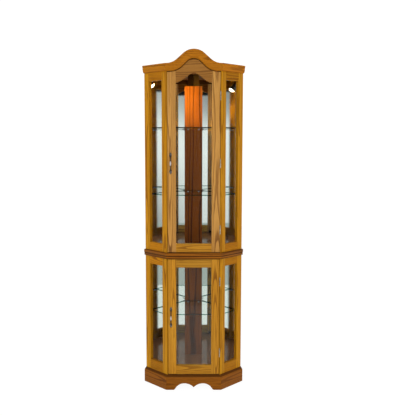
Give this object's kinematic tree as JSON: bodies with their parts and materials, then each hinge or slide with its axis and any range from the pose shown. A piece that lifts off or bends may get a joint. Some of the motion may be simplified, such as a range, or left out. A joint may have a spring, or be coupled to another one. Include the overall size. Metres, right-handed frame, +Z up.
{
  "type": "corner curio cabinet",
  "caption": "Corner display cabinet in golden oak with glazed doors and sides, mirrored backs, glass shelves, a lamp and an arched crown.",
  "frame": {"origin": "on the floor, in the middle of the overall width and of the overall depth from the pulls to the rear corner", "axes": "+Z up, +Y from the doors to the rear corner, +X to the viewer's right when facing the doors"},
  "size_m": [0.5398, 0.4042, 1.778],
  "materials": {
    "oak": "satin golden oak",
    "dark_oak": "satin dark oak of the base and waist",
    "red_oak": "satin reddish oak inside",
    "back_board": "plain back boards",
    "mirror": "silvered mirror",
    "clear_glass": "clear flat glass",
    "shelf_glass": "clear glass with green edges",
    "bronze": "antique bronze",
    "nickel": "satin nickel",
    "steel": "plated steel",
    "lamp_black": "black enamel",
    "bulb": "frosted bulb",
    "catch_brown": "brown plastic"
  },
  "bodies": {
    "cabinet": {"base_front_skirt": "dark_oak", "base_left_skirt": "dark_oak", "base_right_skirt": "dark_oak", "bottom_panel": "oak", "waist_deck": "oak", "top_panel": "oak", "waist_front_rail": "dark_oak", "waist_left_moulding": "dark_oak", "waist_right_moulding": "dark_oak", "crown_header": "oak", "crown_front_moulding": "oak", "crown_left_moulding": "oak", "crown_right_moulding": "oak", "left_front_stile": "oak", "left_rear_stile": "oak", "left_top_rail": "oak", "left_middle_rail": "oak", "left_foot_rail": "oak", "right_front_stile": "oak", "right_rear_stile": "oak", "right_top_rail": "oak", "right_middle_rail": "oak", "right_foot_rail": "oak", "upper_left_pane": "clear_glass", "upper_right_pane": "clear_glass", "lower_left_pane": "clear_glass", "lower_right_pane": "clear_glass", "left_back_board": "back_board", "right_back_board": "back_board", "upper_left_mirror": "mirror", "upper_right_mirror": "mirror", "lower_left_mirror": "mirror", "lower_right_mirror": "mirror", "upper_corner_cover": "red_oak", "lower_corner_cover": "red_oak", "high_shelf": "shelf_glass", "middle_shelf": "shelf_glass", "low_shelf": "shelf_glass", "shelf_pins": "steel", "lamp_bracket": "lamp_black", "lamp_can": "lamp_black", "lamp_bulb": "bulb", "door_catches": "catch_brown", "frame_hinge_leaves": "nickel"},
    "upper_door": {"upper_door_hinge_stile": "oak", "upper_door_pull_stile": "oak", "upper_door_arched_rail": "oak", "upper_door_foot_rail": "oak", "upper_door_pane": "clear_glass", "upper_door_hinge_leaves": "nickel", "upper_door_pull": "bronze", "upper_door_strike": "steel"},
    "lower_door": {"lower_door_hinge_stile": "oak", "lower_door_pull_stile": "oak", "lower_door_top_rail": "oak", "lower_door_foot_rail": "oak", "lower_door_pane": "clear_glass", "lower_door_hinge_leaves": "nickel", "lower_door_pull": "bronze", "lower_door_strike": "steel"}
  },
  "joints": [
    {"name": "upper_door_hinge", "type": "hinge", "parent": "cabinet", "child": "upper_door", "pos_m": [0.13645, -0.18055, 1.20325], "axis": [0, 0, 1], "range_deg": [0, 165]},
    {"name": "lower_door_hinge", "type": "hinge", "parent": "cabinet", "child": "lower_door", "pos_m": [0.13645, -0.18055, 0.39275], "axis": [0, 0, 1], "range_deg": [0, 165]}
  ]
}
